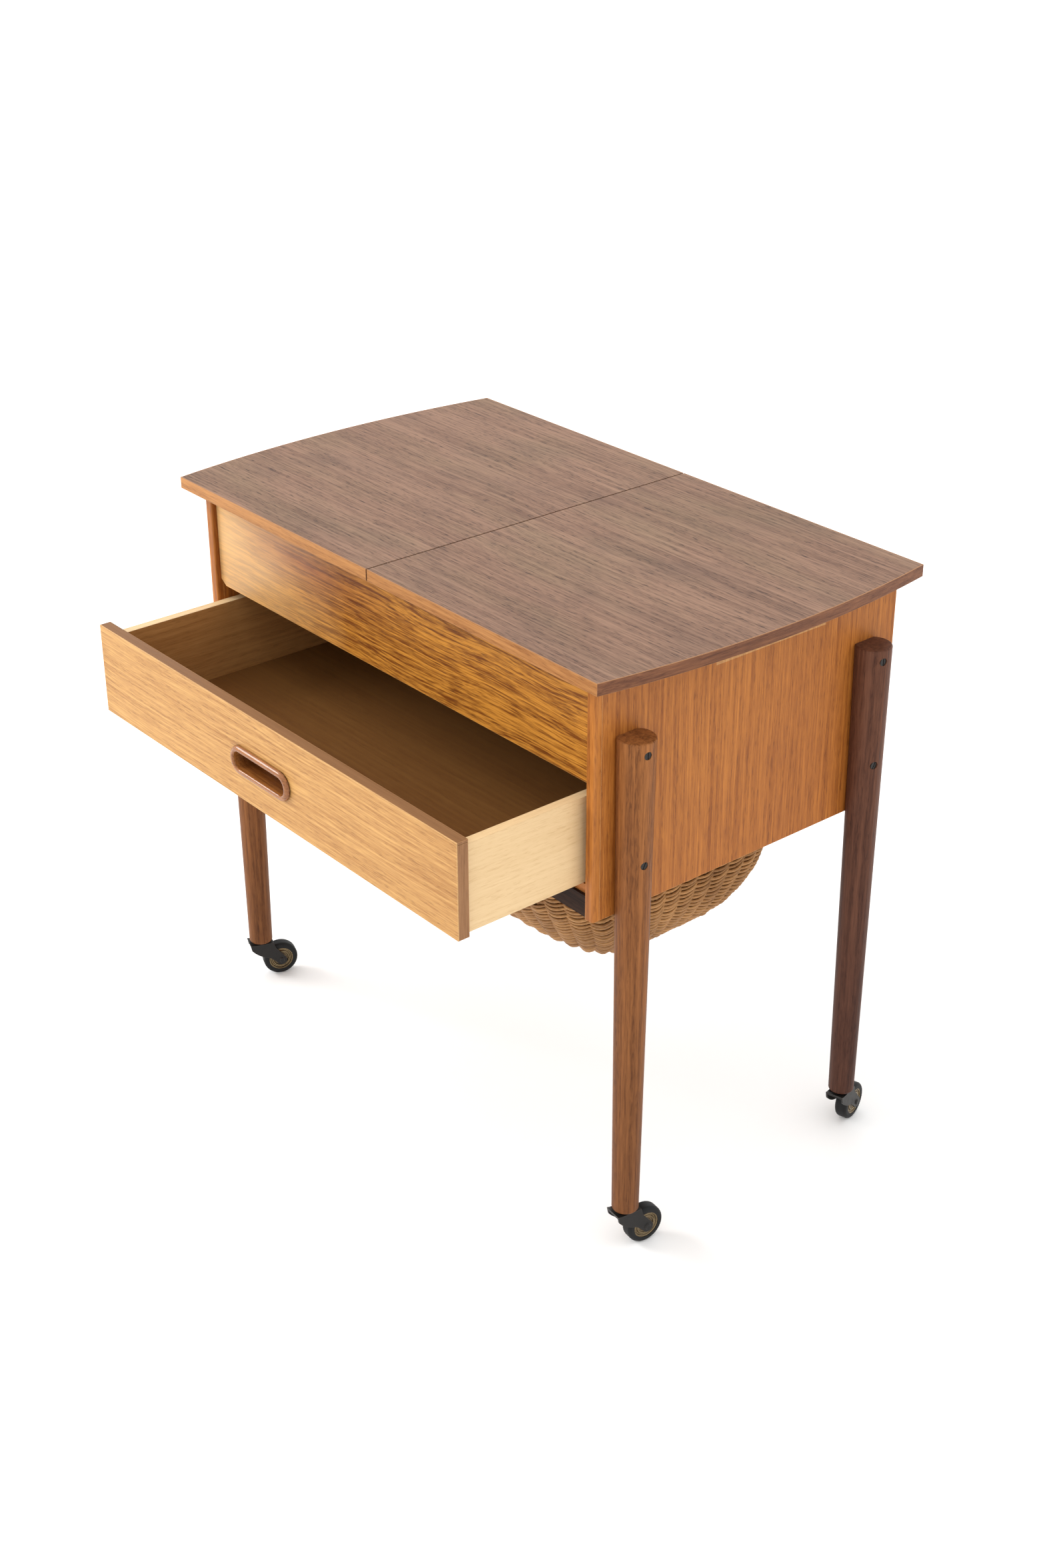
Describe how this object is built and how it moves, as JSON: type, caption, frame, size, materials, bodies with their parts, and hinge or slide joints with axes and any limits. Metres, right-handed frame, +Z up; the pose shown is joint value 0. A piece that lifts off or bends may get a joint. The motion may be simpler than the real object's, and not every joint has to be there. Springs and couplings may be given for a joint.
{
  "type": "sewing table",
  "caption": "Teak sewing table on casters with a sliding two-leaf top, a drawer, trays under the top and a pull-out wicker basket.",
  "frame": {"origin": "middle of the whole object's box, on the floor under the wheels, with the drawer 150 mm open as stored", "axes": "+Z up, +X along the long side of the top, -Y towards the drawer's front"},
  "size_m": [0.7, 0.5486, 0.64],
  "materials": {
    "teak_top": "matte, oiled",
    "teak_case": "satin, oiled",
    "teak_front": "satin, oiled",
    "teak_edge": "satin, oiled",
    "teak_leg": "satin, oiled",
    "dark_rail": "satin",
    "beech": "satin, lacquered",
    "plywood": "satin, lacquered",
    "wicker": "dry, woven",
    "dark_steel": "worn, dark",
    "hub_brass": "tarnished",
    "rubber": "worn"
  },
  "bodies": {
    "cabinet": {"side_panel_left": "teak_case", "side_panel_right": "teak_case", "panel_front_strip_left": "teak_case", "panel_front_strip_right": "teak_case", "drawer_runner_left": "beech", "drawer_runner_right": "beech", "basket_runner_left": "beech", "basket_runner_right": "beech", "front_apron": "teak_case", "back_panel": "teak_case", "compartment_floor": "plywood", "cross_rail": "teak_case", "leaf_guide_front": "beech", "leaf_guide_back": "beech", "tray_ledge_front": "beech", "tray_ledge_back": "beech", "leg_front_left": "teak_leg", "leg_front_right": "teak_leg", "leg_rear_left": "teak_leg", "leg_rear_right": "teak_leg", "leg_screws": "dark_steel", "caster_sockets": "dark_steel"},
    "top_leaf_left": {"leaf_left": "teak_top", "leaf_edge_strip_left": "teak_edge", "leaf_runners_left": "beech"},
    "top_leaf_right": {"leaf_right": "teak_top", "leaf_edge_strip_right": "teak_edge", "leaf_runners_right": "beech"},
    "drawer": {"drawer_front": "teak_front", "drawer_edge_strips": "teak_edge", "drawer_handle": "teak_leg", "drawer_side_left": "beech", "drawer_side_right": "beech", "drawer_bottom": "plywood", "drawer_back": "beech"},
    "basket": {"basket_front_rail": "dark_rail", "basket_back_rail": "dark_rail", "basket_side_rail_left": "dark_rail", "basket_side_rail_right": "dark_rail", "wicker_basket": "wicker"},
    "spool_tray": {"spool_tray_bottom": "plywood", "spool_tray_frame": "beech", "spool_pegs": "beech"},
    "divided_tray": {"divided_tray_bottom": "plywood", "divided_tray_frame": "beech", "tray_dividers": "beech"},
    "caster_front_left": {"caster_fork_front_left": "dark_steel"},
    "wheel_front_left": {"caster_hub_front_left": "hub_brass", "caster_tyre_front_left": "rubber"},
    "caster_front_right": {"caster_fork_front_right": "dark_steel"},
    "wheel_front_right": {"caster_hub_front_right": "hub_brass", "caster_tyre_front_right": "rubber"},
    "caster_rear_left": {"caster_fork_rear_left": "dark_steel"},
    "wheel_rear_left": {"caster_hub_rear_left": "hub_brass", "caster_tyre_rear_left": "rubber"},
    "caster_rear_right": {"caster_fork_rear_right": "dark_steel"},
    "wheel_rear_right": {"caster_hub_rear_right": "hub_brass", "caster_tyre_rear_right": "rubber"}
  },
  "joints": [
    {"name": "leaf_left_slide", "type": "slide", "parent": "cabinet", "child": "top_leaf_left", "axis": [-1, 0, 0], "range_m": [0, 0.22]},
    {"name": "leaf_right_slide", "type": "slide", "parent": "cabinet", "child": "top_leaf_right", "axis": [1, 0, 0], "range_m": [0, 0.22]},
    {"name": "drawer_slide", "type": "slide", "parent": "cabinet", "child": "drawer", "axis": [0, -1, 0], "range_m": [-0.1505, 0.12]},
    {"name": "basket_slide", "type": "slide", "parent": "cabinet", "child": "basket", "axis": [0, -1, 0], "range_m": [0, 0.25]},
    {"name": "spool_tray_slide", "type": "slide", "parent": "cabinet", "child": "spool_tray", "axis": [1, 0, 0], "range_m": [0, 0.104]},
    {"name": "divided_tray_slide", "type": "slide", "parent": "cabinet", "child": "divided_tray", "axis": [-1, 0, 0], "range_m": [0, 0.104]},
    {"name": "swivel_front_left", "type": "hinge", "parent": "cabinet", "child": "caster_front_left", "pos_m": [-0.3244, -0.08625, 0.047], "axis": [0, 0, 1], "continuous": true},
    {"name": "wheel_front_left_spin", "type": "hinge", "parent": "caster_front_left", "child": "wheel_front_left", "pos_m": [-0.31701, -0.06595, 0.0205], "axis": [0.9397, -0.342, 0], "continuous": true},
    {"name": "swivel_front_right", "type": "hinge", "parent": "cabinet", "child": "caster_front_right", "pos_m": [0.3244, -0.08625, 0.047], "axis": [0, 0, 1], "continuous": true},
    {"name": "wheel_front_right_spin", "type": "hinge", "parent": "caster_front_right", "child": "wheel_front_right", "pos_m": [0.32703, -0.06481, 0.0205], "axis": [0.9925, -0.1219, 0], "continuous": true},
    {"name": "swivel_rear_left", "type": "hinge", "parent": "cabinet", "child": "caster_rear_left", "pos_m": [-0.3244, 0.22475, 0.047], "axis": [0, 0, 1], "continuous": true},
    {"name": "wheel_rear_left_spin", "type": "hinge", "parent": "caster_rear_left", "child": "wheel_rear_left", "pos_m": [-0.32666, 0.24623, 0.0205], "axis": [0.9945, 0.1045, 0], "continuous": true},
    {"name": "swivel_rear_right", "type": "hinge", "parent": "cabinet", "child": "caster_rear_right", "pos_m": [0.3244, 0.22475, 0.047], "axis": [0, 0, 1], "continuous": true},
    {"name": "wheel_rear_right_spin", "type": "hinge", "parent": "caster_rear_right", "child": "wheel_rear_right", "pos_m": [0.31881, 0.24561, 0.0205], "axis": [0.9659, 0.2588, 0], "continuous": true}
  ]
}
